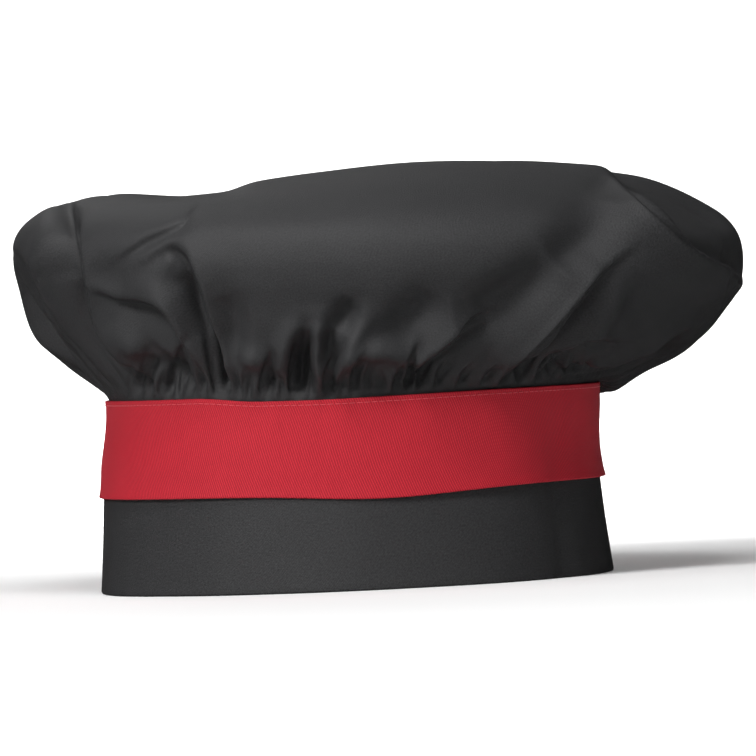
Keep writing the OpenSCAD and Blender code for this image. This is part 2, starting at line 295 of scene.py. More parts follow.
def fold_height(folds, x, y, edge):
    """How far the folds lift the cloth at points x, y of the view they are drawn on. edge is the width of a crease's
    step. Folds fade at both ends, and pleats only at their upper end."""
    total = np.zeros_like(x)
    for shape, rise, width, points in folds:
        s, share = along(points, x, y)
        if points[0][1] == PLEAT_FOOT:
            share = 0.5 + share / 2
        fade = np.sin(np.pi * np.clip(share, 0.02, 0.98)) ** 0.5
        if shape == "crease":
            right = rise[0] * np.exp(-(s / width[0]) ** 2)
            left = -rise[1] * np.exp(-(s / width[1]) ** 2)
            blend = 0.5 + 0.5 * np.tanh(s / edge)
            total += fade * (blend * right + (1 - blend) * left)
        else:
            total += fade * (rise if shape == "ridge" else -rise) * np.exp(-(s / width) ** 2)
    return total


# ---- Cloth solver: links that keep their flat lengths, soft bending, and points that keep apart ----

def add_up(total, index, values):
    for c in range(3):
        total[:, c] += np.bincount(index, values[:, c], len(total))


def sum_at_ends(n, a, b, at_a, at_b):
    """For every point, the sum of what its links bring: at_a to their ends a, and at_b to their ends b."""
    total = np.zeros((n, 3))
    add_up(total, a, at_a)
    add_up(total, b, at_b)
    return total


def normals_of(points, corners):
    """Unit normals of the points, from the faces round them."""
    across = np.cross(points[corners[:, 2]] - points[corners[:, 0]], points[corners[:, 3]] - points[corners[:, 1]])
    total = np.zeros_like(points)
    for k in range(4):
        add_up(total, corners[:, k], across)
    return total / np.maximum(np.linalg.norm(total, axis=1, keepdims=True), 1e-9)


def close_pairs(points, reach):
    """Pairs of points nearer than reach, found on a grid."""
    cell = np.floor(points / reach).astype(np.int64)
    cell -= cell.min(0) - 1
    size = cell.max(0) + 2
    key = (cell[:, 0] * size[1] + cell[:, 1]) * size[2] + cell[:, 2]
    order = np.argsort(key, kind="stable")
    ordered = key[order]
    ids, found = np.arange(len(points)), []
    for step in [(x, y, z) for x in (0, 1) for y in (-1, 0, 1) for z in (-1, 0, 1) if (x, y, z) >= (0, 0, 0)]:
        other = key + (step[0] * size[1] + step[1]) * size[2] + step[2]
        low, high = np.searchsorted(ordered, other, "left"), np.searchsorted(ordered, other, "right")
        count = high - low
        i = np.repeat(ids, count)
        nth = np.arange(len(i)) - np.repeat(np.cumsum(count) - count, count)
        j = order[np.repeat(low, count) + nth]
        near = ((points[i] - points[j]) ** 2).sum(1) < reach * reach
        if step == (0, 0, 0):
            near &= i < j
        found.append(np.stack([i[near], j[near]], 1))
    return np.concatenate(found)


def relax(start, flat, faces, corners, rest_length, pinned, goal, steps, bend, pressure, gap=2.0, weight=0.004):
    """Lets the cloth settle from start. goal says how firmly each point is drawn to where it started. pressure and
    weight are what a step adds to a point's speed (mm), and gap is how far apart layers keep."""
    n = len(start)
    quads = np.array([f for f in faces if len(f) == 4])
    triangles = np.array([f for f in faces if len(f) == 3])
    edges = np.concatenate([quads[:, [0, 1]], quads[:, [1, 2]], quads[:, [2, 3]], quads[:, [3, 0]],
                            triangles[:, [0, 1]], triangles[:, [1, 2]], triangles[:, [2, 0]]])
    edges = np.unique(np.sort(edges, 1), axis=0)
    links = np.concatenate([edges, quads[:, [0, 2]], quads[:, [1, 3]]])
    firm = np.concatenate([np.ones(len(edges)), np.full(len(links) - len(edges), 0.15)])
    loose = ~(pinned[links[:, 0]] & pinned[links[:, 1]])
    links, firm = links[loose], firm[loose]
    length = rest_length(links)
    a, b = links[:, 0], links[:, 1]
    free = (~pinned).astype(float)
    share = np.maximum(free[a] + free[b], 1e-6)
    held = np.maximum(np.bincount(a, firm, n) + np.bincount(b, firm, n), 1e-6)
    ea, eb = edges[:, 0], edges[:, 1]
    around = (np.bincount(ea, minlength=n) + np.bincount(eb, minlength=n)).astype(float)
    x, speed = start.copy(), np.zeros_like(start)
    for step in range(steps):
        if step % 10 == 0:
            pairs = close_pairs(x, 1.5 * gap)
            pairs = pairs[np.linalg.norm(flat[pairs[:, 0]] - flat[pairs[:, 1]], axis=1) > 2.2 * gap]
        speed = 0.9 * speed + pressure * normals_of(x, corners)
        speed[:, 2] -= weight
        before = x.copy()
        x = x + speed * free[:, None] + (start - x) * goal[:, None]
        for _ in range(4):
            gapvec = x[b] - x[a]
            now = np.maximum(np.sqrt((gapvec * gapvec).sum(1)), 1e-9)
            off = (now - length) / now
            pull = gapvec * (np.where(off > 0, firm, 0.4 * firm) * off / share)[:, None]
            total = sum_at_ends(n, a, b, pull * free[a][:, None], -pull * free[b][:, None])
            x += 1.3 * total / held[:, None]
        curl = (sum_at_ends(n, ea, eb, x[eb], x[ea]) / around[:, None] - x) * free[:, None]
        spread = sum_at_ends(n, ea, eb, curl[eb], curl[ea])
        x += bend * (curl - spread / around[:, None]) * free[:, None]
        i, j = pairs[:, 0], pairs[:, 1]
        gapvec = x[j] - x[i]
        now = np.sqrt((gapvec * gapvec).sum(1))
        touching = now < gap
        i, j, gapvec, now = i[touching], j[touching], gapvec[touching], now[touching]
        push = gapvec * (0.25 * (now - gap) / np.maximum(now, 1e-6))[:, None]
        total = sum_at_ends(n, i, j, push, -push)
        met = np.maximum(np.bincount(i, minlength=n) + np.bincount(j, minlength=n), 1)
        x += total / np.sqrt(met)[:, None] * free[:, None]
        keep_off_band(x, pinned)
        x[pinned] = start[pinned]
        speed = x - before
        speed *= np.minimum(1, 1.5 / np.maximum(np.linalg.norm(speed, axis=1), 1e-9))[:, None]
    return x


def soften(points, corners, share, times):
    """Move points towards the mean of their neighbours, as far as share says."""
    ends = np.vstack([corners[:, [i, (i + 1) % 4]] for i in range(4)])
    ends = ends[ends[:, 0] != ends[:, 1]]
    a, b = np.concatenate([ends[:, 0], ends[:, 1]]), np.concatenate([ends[:, 1], ends[:, 0]])
    count = np.maximum(np.bincount(a, minlength=len(points)), 1)[:, None]
    for _ in range(times):
        mean = np.zeros_like(points)
        add_up(mean, a, points[b])
        points = points + (0.6 * share)[:, None] * (mean / count - points)
    return points


def keep_off_band(x, pinned):
    """Moves points that have sunk into the band up or out of it, whichever is nearer."""
    front = front_share(x[:, 1])
    rim, wall = BAND_H + top_lift(x[:, 0]) * front + 0.6, STRIP_R + 1.2
    away = x[:, :2] - np.stack([2.2 * front, 0 * front], 1)
    r = np.hypot(away[:, 0], away[:, 1])
    inside = (x[:, 2] < rim) & (r < wall) & ~pinned
    up = inside & (rim - x[:, 2] < wall - r)
    out = inside & ~up
    x[up, 2] = rim[up]
    x[out, :2] += away[out] * (wall / r[out] - 1)[:, None]


# ---- How the worn-in band sits ----

def front_share(y):
    """1 over the front and the sides, 0 at the back, where the closure keeps its round shape."""
    return 1 - smoothstep(10, 70, y)


def top_lift(x):
    """How far the band's top edge is off level, as a worn band's is."""
    return (1.7 * smoothstep(-35, -60, x) - 0.5 * np.exp(-((x + 12) / 25) ** 2)
            + 0.4 * smoothstep(20, 60, x))


def foot_lift(x):
    """How far the strip's free lower edge is off level: it sags in the middle of the front."""
    return 1.0 - 2.6 * np.exp(-((x - 12) / 36) ** 2)


def settle(points, strip=False):
    """Points of the band as it stands after some wear. strip is for the strip's pieces, which hang from its top."""
    p = np.array(points, float)
    x, y, z = p[:, 0].copy(), p[:, 1].copy(), p[:, 2].copy()
    front = front_share(y)
    turn = np.arctan2(y, x)
    up = np.clip(z / BAND_H, 0, 1.1)
    lift = top_lift(x) * up + 0.5 * np.sin(4 * turn + 0.6) * (1 - up) ** 2 * up * 2
    if strip:
        part = (z - STRIP_FOOT) / (BAND_H - STRIP_FOOT)
        lift = foot_lift(x) * (1 - part) + top_lift(x) * part
    # The foot stands out, most of all at the sides, with soft waves and one dent at the front right.
    side = np.cos(turn) ** 2
    out = 4.7 * np.clip(1 - up, 0, 1) ** 1.7 * (0.3 + 0.7 * side)
    out += 0.5 * (1 - up) * np.sin(7 * turn + 1.9 + 2.2 * up) + 0.3 * np.sin(11 * turn - 1.5 * up) * (1 - 0.6 * up)
    out -= 1.1 * np.exp(-((turn + 0.62) / 0.07) ** 2) * (1 - up) ** 0.5 * (up < 1)
    if strip:
        edge = np.clip(1 - part, 0, 1) ** 3      # the strip's free edge stands off the band
        out += edge * (0.5 + 0.4 * side + 0.35 * np.sin(5 * turn + 0.8))
    lean = 0.4 + 1.9 * smoothstep(0.62, 0.94, up)
    p[:, 0] += front * (lean + out * np.cos(turn))
    p[:, 1] += front * out * np.sin(turn)
    p[:, 2] += front * lift
    return p


def arc(length_mm):
    """Degrees round the band for a length along it."""
    return math.degrees(length_mm / BAND_R)


hinge = frame["joints"][0]["pos_m"]
HINGE_A = math.degrees(math.atan2(hinge[1], hinge[0]))
HINGE_R = math.hypot(hinge[0], hinge[1]) / MM
FLAP_END_A = 180 - HINGE_A
LEFT_END_A = HINGE_A - arc(5)
RIGHT_END_A = LEFT_END_A - arc(12)
NECK_R = (HEAD_R + BAND_R) / 2 + 0.3
STRIP_T = 1.2
FLAP_R = 97.1
FLAP_T = 2.0
FLAP_H = BAND_H - 1
FLAP_STRIP_R = FLAP_R + FLAP_T


# ---- Making the crown ----

# Gathers. Pairs of pleats run together away from the seam: each level has twice as many as the next, and starts,
# is at its deepest, fades and has died out so far from the seam (mm). The last value is the share that the front,
# with its own drawn folds, goes without.
GATHERS = [(4, -6, 0, 5, 17, 0.0), (2, 3, 13, 20, 40, 0.1), (1, 16, 32, 42, 72, 0.4), (0.5, 36, 66, 84, 122, 1.0)]
PLEATS = 22
SEAM_FULLNESS, EDGE_FULLNESS = 0.66, 0.46
TOP_STEP = 2.8
# How firmly the settling cloth is held to where it starts: everywhere, and on top of that in the front.
LOOSE_HOLD, FRONT_HOLD = 0.012, 0.25


def as_seen(points):
    """Where an eye in front of the hat sees the points, carried back to the plane of its middle."""
    scale = VIEW_MM / (VIEW_MM + points[:, 1])
    return EYE_X + (points[:, 0] - EYE_X) * scale, EYE_Z + (points[:, 2] - EYE_Z) * scale


def front_folds(folds, points, edge):
    """How far folds drawn on the front view lift the points of the front."""
    x, z = as_seen(points)
    return FOLD_DEPTH * fold_height(folds, x, z, edge) * smoothstep(26, -14, points[:, 1])


def back_folds(points):
    """The long folds of the front again on the back, the other way round and a little higher."""
    x, z = as_seen(points * (-1, 1, 1))
    return FOLD_DEPTH * fold_height(FRONT_FOLDS, x, z - 3, 2.0) * smoothstep(15, 60, points[:, 1])


def gathers(form, angle, depth, radius, fullness, in_front):
    """How far the gathers lift the cloth: waves as steep as the fullness asks for, in levels."""
    rng = np.random.default_rng(7)
    drift = 0.024 * periodic_noise(angle, rng, range(3, 14))
    steepness = np.minimum(wave_steepness(fullness), 1.5 - 0.5 * in_front)
    phase = PLEATS * (angle + drift) + 0.9 * periodic_noise(angle, rng, range(2, 12))
    total = np.zeros_like(angle)
    for times, start, full, fading, end, less_in_front in GATHERS:
        here = smoothstep(start, full, depth) * (1 - smoothstep(fading, end, depth))
        if times <= 1:
            here *= np.clip(1 + 0.5 * periodic_noise(angle, rng, range(2, 9)), 0.1, 1.5)
        strength = np.clip(1 + 0.4 * periodic_noise(angle, rng, range(5, 17)), 0.2, 1.6)
        height = steepness * radius / (PLEATS * times) * strength
        height *= 1 - less_in_front * in_front
        total += here * height * (2 * np.abs(np.sin(times * phase / 2)) - 1.1)
    total *= 1 - 0.85 * smoothstep(20, -40, form[:, 1])
    total *= 1 - 0.6 * smoothstep(70, 115, form[:, 0]) * smoothstep(6, 20, depth)
    most = 5 + 4 * (1 - in_front) * smoothstep(15, 45, depth)
    return np.clip(total, -most, most) * smoothstep(-1, 6, depth)


def crown_cloth():
    """The crown's points after it has settled, its faces, and the flat place of each point."""
    rho, angle, faces = build_round()
    corners = np.array([face if len(face) == 4 else (*face, face[2]) for face in faces])
    depth = SEAM_RHO - rho
    share = np.clip(depth / SEAM_RHO, 0, 1)
    form = loft(angle, share)
    out = normals_of(form, corners)
    out[-1] = (0, 0, 1)
    in_front = smoothstep(30, -10, form[:, 1])

    # Of the extra length that the round has over the form, this much is kept.
    radius = np.maximum(np.hypot(form[:, 0] - 22 * share, form[:, 1]), 1)
    ratio = np.maximum(1, rho / radius)
    left = smoothstep(0, -110, form[:, 0])
    kept = SEAM_FULLNESS - (SEAM_FULLNESS - EDGE_FULLNESS - 0.15 * left) * smoothstep(2, 40, depth)
    kept *= 1 - 0.85 * smoothstep(75, 15, form[:, 1]) * smoothstep(30, 60, depth)
    fullness = 1 + (ratio - 1) * kept

    folds = front_folds(FRONT_FOLDS + PLEAT_FOLDS, form, 1.0) * smoothstep(0.5, 6, depth)
    folds += back_folds(form) * smoothstep(6, 26, depth)
    folds += fold_height(TOP_FOLDS, form[:, 0], form[:, 1], 2.0) * smoothstep(92, 120, depth)
    start = form + out * (gathers(form, angle, depth, radius, fullness, in_front) + folds)[:, None]

    # The cloth beyond the shoulder lies further back.
    x, z = as_seen(start)
    s, run = along(SHOULDER, x, z)
    start[:, 1] += 11 * smoothstep(0, 18, -s) * np.sin(np.pi * run) ** 0.5 * smoothstep(15, -15, start[:, 1]) * (x > 95)
    # The foot follows the worn-in band, and the seam allowance hangs down inside it.
    seam = np.stack([NECK_R * np.cos(angle), NECK_R * np.sin(angle), np.full_like(angle, BAND_H)], 1)
    start += (settle(seam) - loft(angle, np.zeros_like(share))) * (1 - smoothstep(0, 40, depth))[:, None]
    start[:, 2] -= np.clip(rho - SEAM_RHO, 0, None)
    # A lobe hangs low at the right, towards the back.
    start[:, 2] -= 8 * np.exp(-((angle - 0.33) / 0.22) ** 2) * smoothstep(3, 8, depth) * (1 - smoothstep(13, 25, depth))
    # The step in the top's outline, left of the middle.
    start[:, 2] -= TOP_STEP * smoothstep(148, 156, start[:, 2]) * smoothstep(-86, -60, start[:, 0]) * (
        1 - 0.85 * smoothstep(-44, -30, start[:, 0]) - 0.15 * smoothstep(-30, 30, start[:, 0]))
    flat = np.stack([rho * np.cos(angle), rho * np.sin(angle), np.zeros_like(rho)], 1)

    narrowed = rho * fullness / ratio

    def rest_length(links):
        """Length of a link in the cloth: as cut, less the fullness that isn't kept, and as drawn in the front."""
        a, b = links[:, 0], links[:, 1]
        turn = np.abs((angle[a] - angle[b] + math.pi) % (2 * math.pi) - math.pi)
        across = (narrowed[a] + narrowed[b]) * np.sin(turn / 2)
        length = np.sqrt((rho[a] - rho[b]) ** 2 + across ** 2)
        length = np.where(np.minimum(rho[a], rho[b]) < 1, np.maximum(rho[a], rho[b]), length)
        drawn = np.linalg.norm(start[a] - start[b], axis=1)
        return length + (drawn - length) * in_front[a]

    pinned = rho >= SEAM_RHO - 0.1
    goal = LOOSE_HOLD + FRONT_HOLD * smoothstep(30, -20, form[:, 1])
    settled = relax(start, flat, faces, corners, rest_length, pinned, goal, steps=130, bend=0.12, pressure=0.008)
    # Press the small ripples out of the right side, above its gathers.
    x, y = start[:, 0], start[:, 1]
    share = smoothstep(60, 90, x) * smoothstep(0, 20, y) * smoothstep(80, 55, y) * smoothstep(8, 24, depth)
    return soften(settled, corners, share, 24) + out * (0.8 * share)[:, None], faces, flat


# ---- Mesh helpers ----

def new_mesh(name, points_mm, faces, material, uv=None):
    """A mesh object from points in millimetres. uv is one (u, v) in millimetres of flat cloth per point."""
    mesh = bpy.data.meshes.new(name)
    mesh.from_pydata((np.asarray(points_mm) * MM).tolist(), [], faces)
    mesh.update()
    mesh.polygons.foreach_set("use_smooth", [True] * len(mesh.polygons))
    mesh.materials.append(material)
    if uv is not None:
        loops = np.zeros(len(mesh.loops), np.int32)
        mesh.loops.foreach_get("vertex_index", loops)
        layer = mesh.uv_layers.new(name="cloth")
        layer.data.foreach_set("uv", np.asarray(uv, np.float32)[loops].ravel())
    obj = bpy.data.objects.new(name, mesh)
    bpy.context.scene.collection.objects.link(obj)
    return obj


def apply_modifiers(obj):
    """Replaces the object's mesh by what its modifiers make of it."""
    graph = bpy.context.evaluated_depsgraph_get()
    mesh = bpy.data.meshes.new_from_object(obj.evaluated_get(graph))
    obj.modifiers.clear()
    obj.data = mesh


def subdivide(obj):
    modifier = obj.modifiers.new("subdivide", "SUBSURF")
    modifier.levels = modifier.render_levels = 1
    apply_modifiers(obj)


def thicken(obj, thickness):
    """Gives the cloth its thickness, inwards."""
    modifier = obj.modifiers.new("ply", "SOLIDIFY")
    modifier.thickness = thickness * MM
    modifier.offset = -1.0
    modifier.use_even_offset = False
    apply_modifiers(obj)


def points_of(obj):
    co = np.zeros(len(obj.data.vertices) * 3, np.float32)
    obj.data.vertices.foreach_get("co", co)
    return co.reshape(-1, 3).astype(float) / MM


def set_points(obj, points_mm):
    obj.data.vertices.foreach_set("co", (points_mm * MM).astype(np.float32).ravel())
    obj.data.update()


def finish_piece(obj, body, node):
    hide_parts(node)
    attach(obj, body)
    return obj


# ---- Materials ----

class Nodes:
    """Short names for building a material's node tree."""

    def __init__(self, name):
        self.material = bpy.data.materials.new(name)
        self.material.use_nodes = True
        self.tree = self.material.node_tree
        self.shader = self.tree.nodes["Principled BSDF"]

    def link(self, value, socket):
        if isinstance(value, bpy.types.NodeSocket):
            self.tree.links.new(value, socket)
        else:
            socket.default_value = value

    def math(self, operation, a, b=0.0):
        node = self.tree.nodes.new("ShaderNodeMath")
        node.operation = operation
        self.link(a, node.inputs[0])
        self.link(b, node.inputs[1])
        return node.outputs[0]

    def add(self, a, b):
        return self.math("ADD", a, b)

    def times(self, a, b):
        return self.math("MULTIPLY", a, b)

    def cloth_place(self):
        """Place on the flat cloth, in millimetres, as two sockets."""
        uv = self.tree.nodes.new("ShaderNodeUVMap")
        uv.uv_map = "cloth"
        split = self.tree.nodes.new("ShaderNodeSeparateXYZ")
        self.tree.links.new(uv.outputs[0], split.inputs[0])
        return uv.outputs[0], split.outputs[0], split.outputs[1]

    def object_place(self):
        return self.tree.nodes.new("ShaderNodeTexCoord").outputs["Object"]

    def noise(self, place, scale, detail=3.0, roughness=0.5):
        node = self.tree.nodes.new("ShaderNodeTexNoise")
        self.link(place, node.inputs["Vector"])
        node.inputs["Scale"].default_value = scale
        node.inputs["Detail"].default_value = detail
        node.inputs["Roughness"].default_value = roughness
        return node.outputs[0]

    def wave(self, across):
        """A smooth ridge for every whole number of across, from 0 to 1."""
        return self.add(self.times(self.math("SINE", self.times(across, 2 * math.pi)), 0.5), 0.5)

    def ramp(self, value, low, high):
        """Colour from low to high as value goes from 0 to 1."""
        node = self.tree.nodes.new("ShaderNodeMix")
        node.data_type = "RGBA"
        self.link(value, node.inputs["Factor"])
        node.inputs["A"].default_value = (*low, 1)
        node.inputs["B"].default_value = (*high, 1)
        return node.outputs["Result"]

    def bump(self, height, distance_mm, strength=1.0, under=None):
        node = self.tree.nodes.new("ShaderNodeBump")
        self.link(height, node.inputs["Height"])
        node.inputs["Distance"].default_value = distance_mm * MM
        node.inputs["Strength"].default_value = strength
        if under is not None:
            self.tree.links.new(under, node.inputs["Normal"])
        return node.outputs["Normal"]

    def finish(self, colour, normal, roughness, specular, sheen=0.0):
        self.link(colour, self.shader.inputs["Base Color"])
        self.link(normal, self.shader.inputs["Normal"])
        self.link(roughness, self.shader.inputs["Roughness"])
        self.shader.inputs["Specular IOR Level"].default_value = specular
        self.shader.inputs["Sheen Weight"].default_value = sheen
        self.shader.inputs["Sheen Roughness"].default_value = 0.4
        self.shader.inputs["Sheen Tint"].default_value = (1, 1, 1, 1)
        return self.material


def twill(name, dark, light, pitch, lean, depth, roughness, specular, lines, grain=1.5):
    """Twill: raised diagonal lines pitch apart (mm across) that lean by lean (mm down per mm across), each line
    broken into short floats of yarn. lines is how clear they are against the yarn's own grain, depth (mm) how deep the
    weave is, and grain how fine the yarn is."""
    n = Nodes(name)
    place, u, v = n.cloth_place()
    waver = n.times(n.math("SUBTRACT", n.noise(place, 0.06, 2.0), 0.5), 0.5)
    across = n.math("DIVIDE", n.add(n.add(u, n.times(v, 1 / lean)), waver), pitch)
    line = n.wave(across)
    floats = n.wave(n.add(n.math("DIVIDE", v, pitch * 0.55), n.times(across, 0.5)))
    fibre = n.noise(place, grain, 4.0, 0.7)
    fibre = n.add(n.times(n.math("SUBTRACT", fibre, 0.5), 1.9), 0.5)
    cloud = n.noise(place, 0.04, 4.0, 0.6)
    weave = n.add(n.times(line, lines * 0.78), n.times(floats, lines * 0.22))
    weave = n.add(weave, n.times(fibre, 1 - lines))
    shade = n.add(n.times(weave, 0.86), n.times(cloud, 0.14))
    colour = n.ramp(shade, dark, light)
    crumple = n.bump(n.noise(place, 0.05, 5.0, 0.55), 0.5, 0.35)
    normal = n.bump(weave, depth, 1.0, crumple)
    rough = n.add(roughness - 0.06, n.times(fibre, 0.12))
    return n.finish(colour, normal, rough, specular)


def thread(name, dark, light):
    """Spun thread: fine twisted grain and a soft fuzz."""
    n = Nodes(name)
    place = n.object_place()
    twist = n.noise(place, 2600.0, 3.0, 0.6)
    colour = n.ramp(twist, dark, light)
    return n.finish(colour, n.bump(twist, 0.06), 0.55, 0.4, 0.3)


def non_woven(name, dark, light):
    """Stiffener: matt felted fibres, mottled in larger soft blots."""
    n = Nodes(name)
    place = n.object_place()
    felt = n.noise(place, 900.0, 5.0, 0.65)
    blot = n.noise(place, 60.0, 2.0)
    return n.finish(n.ramp(n.times(felt, blot), dark, light), n.bump(felt, 0.15), 0.9, 0.2)


def tape(name, dark, light, rib):
    """Narrow woven tape with fine ribs along it."""
    n = Nodes(name)
    place, u, v = n.cloth_place()
    ribs = n.wave(n.math("DIVIDE", v, rib))
    pick = n.wave(n.math("DIVIDE", u, rib * 0.8))
    fibre = n.noise(place, 3.0, 4.0)
    weave = n.add(n.times(n.times(ribs, pick), 0.6), n.times(fibre, 0.4))
    return n.finish(n.ramp(weave, dark, light), n.bump(weave, 0.1), 0.7, 0.35, 0.15)


# Every material under the name of its slot in the record.
MATERIALS = {slot: make(slot, *values) for slot, make, *values in (
    ("black_twill", twill, (0.004, 0.004, 0.0043), (0.056, 0.056, 0.0585), 0.62, 2.2, 0.15, 0.59, 0.33, 0.25, 1.2),
    ("red_twill", twill, (0.18, 0.0052, 0.012), (0.69, 0.031, 0.050), 0.95, 2.6, 0.16, 0.62, 0.15, 0.75),
    ("red_thread", thread, (0.42, 0.03, 0.045), (0.80, 0.10, 0.13)),
    ("black_thread", thread, (0.010, 0.010, 0.011), (0.045, 0.045, 0.048)),
    ("interlining", non_woven, (0.55, 0.54, 0.50), (0.86, 0.85, 0.81)),
    ("black_tape", tape, (0.010, 0.010, 0.011), (0.040, 0.040, 0.043), 0.7),
    ("loop_tape", tape, (0.012, 0.012, 0.013), (0.060, 0.060, 0.064), 0.5),
    ("hook_tape", tape, (0.010, 0.010, 0.011), (0.050, 0.050, 0.053), 0.9))}


# ---- Outlines and sweeps ----

def straight(a, b, step=1.8):
    """Points from a up to b, without b."""
    a, b = np.array(a, float), np.array(b, float)
    n = max(1, round(float(np.linalg.norm(b - a)) / step))
    return a + (b - a) * (np.arange(n) / n)[:, None]


def bend_round(centre, radius, start, end, count):
    """Points on an arc from start to end (degrees), without the end."""
    t = np.radians(start + (end - start) * np.arange(count) / count)
    return np.stack([centre[0] + radius * np.cos(t), centre[1] + radius * np.sin(t)], 1)


def folded_cloth(r, t, low, high, shut=False):
    """Outline (radius, height) of cloth folded round a core at its foot. shut turns the upper edges in as well."""
    mid, outer, inner = r + t / 2, t / 2, t / 2 - PLY
    end = high - outer if shut else high - 0.25
    parts = [bend_round((mid, low + outer), outer, -90, 0, 6), straight((r + t, low + outer), (r + t, end))]
    if shut:
        parts += [bend_round((mid, end), outer, 0, 86, 6), bend_round((mid, end), max(inner, 0.04), 86, 0, 6)]
    else:
        parts += [bend_round((r + t - PLY / 2, end), PLY / 2, 0, 180, 5)]
    parts += [straight((r + t - PLY, end), (r + t - PLY, low + outer), 4),
              bend_round((mid, low + outer), max(inner, 0.04), 0, -180, 8),
              straight((r + PLY, low + outer), (r + PLY, end), 4)]
    if shut:
        parts += [bend_round((mid, end), max(inner, 0.04), 180, 94, 6), bend_round((mid, end), outer, 94, 180, 6)]
    else:
        parts += [bend_round((r + PLY / 2, end), PLY / 2, 0, 180, 5)]
    parts += [straight((r, end), (r, low + outer), 4), bend_round((mid, low + outer), outer, 180, 270, 6)]
    return np.vstack(parts)


def slab(r, t, low, high, round_off=0.25, step=2.5):
    """Rounded outline of a flat layer."""
    e = min(round_off, t / 2 - 0.01)
    return np.vstack([
        bend_round((r + t - e, low + e), e, -90, 0, 3), straight((r + t, low + e), (r + t, high - e), step),
        bend_round((r + t - e, high - e), e, 0, 90, 3), bend_round((r + e, high - e), e, 90, 180, 3),
        straight((r, high - e), (r, low + e), step), bend_round((r + e, low + e), e, 180, 270, 3)])


def swept(section, start, end, step=1.4, round_end=0.0):
    """The outline swept round the hat from azimuth start to end (degrees), closed at both ends. round_end (mm) makes
    the ends narrow like folded cloth. Returns points, faces and a (u, v) in millimetres for every face corner."""
    m = len(section)
    total = math.radians(end - start) * BAND_R
    at = np.linspace(0, total, max(6, round(total / step)) + 1)
    if round_end:
        nose = round_end * (1 - np.cos(np.linspace(0, math.pi / 2, 6)[:-1]))
        at = np.unique(np.concatenate([nose, at[(at > round_end) & (at < total - round_end)], total - nose]))
    n = len(at)
    centre = (section[:, 0].max() + section[:, 0].min()) / 2
    low, high = section[:, 1].min(), section[:, 1].max()
    r = np.repeat(section[None, :, 0], n, 0)
    z = np.repeat(section[None, :, 1], n, 0)
    if round_end:
        near = np.minimum(np.minimum(at, total - at) / round_end, 1)
        keep = np.sqrt(1 - (1 - near) ** 2) * 0.96 + 0.04
        r = centre + (r - centre) * keep[:, None]
        z = (low + high) / 2 + (z - (low + high) / 2) * (1 - round_end * 0.7 * (1 - keep) * 2 / (high - low))[:, None]
    turn = (math.radians(start) + at / BAND_R)[:, None]
    points = np.stack([r * np.cos(turn), r * np.sin(turn), z], -1).reshape(-1, 3)
    loop = np.vstack([section, section[:1]])
    run = np.concatenate([[0], np.cumsum(np.linalg.norm(np.diff(loop, axis=0), axis=1))])
    i, j = np.meshgrid(np.arange(n - 1), np.arange(m), indexing="ij")
    i, j = i.ravel(), j.ravel()
    k = (j + 1) % m
    quads = np.stack([i * m + j, (i + 1) * m + j, (i + 1) * m + k, i * m + k], 1)
    u = np.stack([at[i], at[i + 1], at[i + 1], at[i]], 1) + math.radians(start) * BAND_R
    v = np.stack([run[j], run[j], run[j + 1], run[j + 1]], 1)
    ends = [list(range(m)), [(n - 1) * m + q for q in reversed(range(m))]]
    end_uv = [np.stack([section[:, 0], section[:, 1]], 1), np.stack([section[::-1, 0], section[::-1, 1]], 1)]
    corner_uv = np.concatenate([np.stack([u.ravel(), v.ravel()], 1), *end_uv])
    return points, quads.tolist() + ends, corner_uv


def together(*parts):
    """Several (points, faces, corner_uv) as one."""
    points, faces, uv, base = [], [], [], 0
    for p, f, w in parts:
        points.append(p)
        faces += [[q + base for q in face] for face in f]
        uv.append(w)
        base += len(p)
    return np.vstack(points), faces, np.vstack(uv)


def tube(centre, first, second, radius, sides, spans, end_uv):
    """A closed tube along centre: points, faces and a (u, v) for every face corner. first and second span its
    section, and spans are the u values at both ends of each stretch."""
    around = np.arange(sides) * 2 * math.pi / sides
    ring = centre[:, None] + np.reshape(radius, (-1, 1, 1)) * (
        np.cos(around)[None, :, None] * first[:, None] + np.sin(around)[None, :, None] * second[:, None])
    faces, uv = [], []
    for q, (u0, u1) in enumerate(spans):
        low, high = q * sides, (q + 1) * sides
        for e in range(sides):
            g = (e + 1) % sides
            faces.append([low + e, low + g, high + g, high + e])
            uv += [(u0, e), (u0, e + 1), (u1, e + 1), (u1, e)]
    faces.append(list(reversed(range(sides))))
    faces.append([len(spans) * sides + e for e in range(sides)])
    uv += [end_uv] * (2 * sides)
    return ring.reshape(-1, 3), faces, uv


def unit(vectors):
    return vectors / np.maximum(np.linalg.norm(vectors, axis=1, keepdims=True), 1e-9)


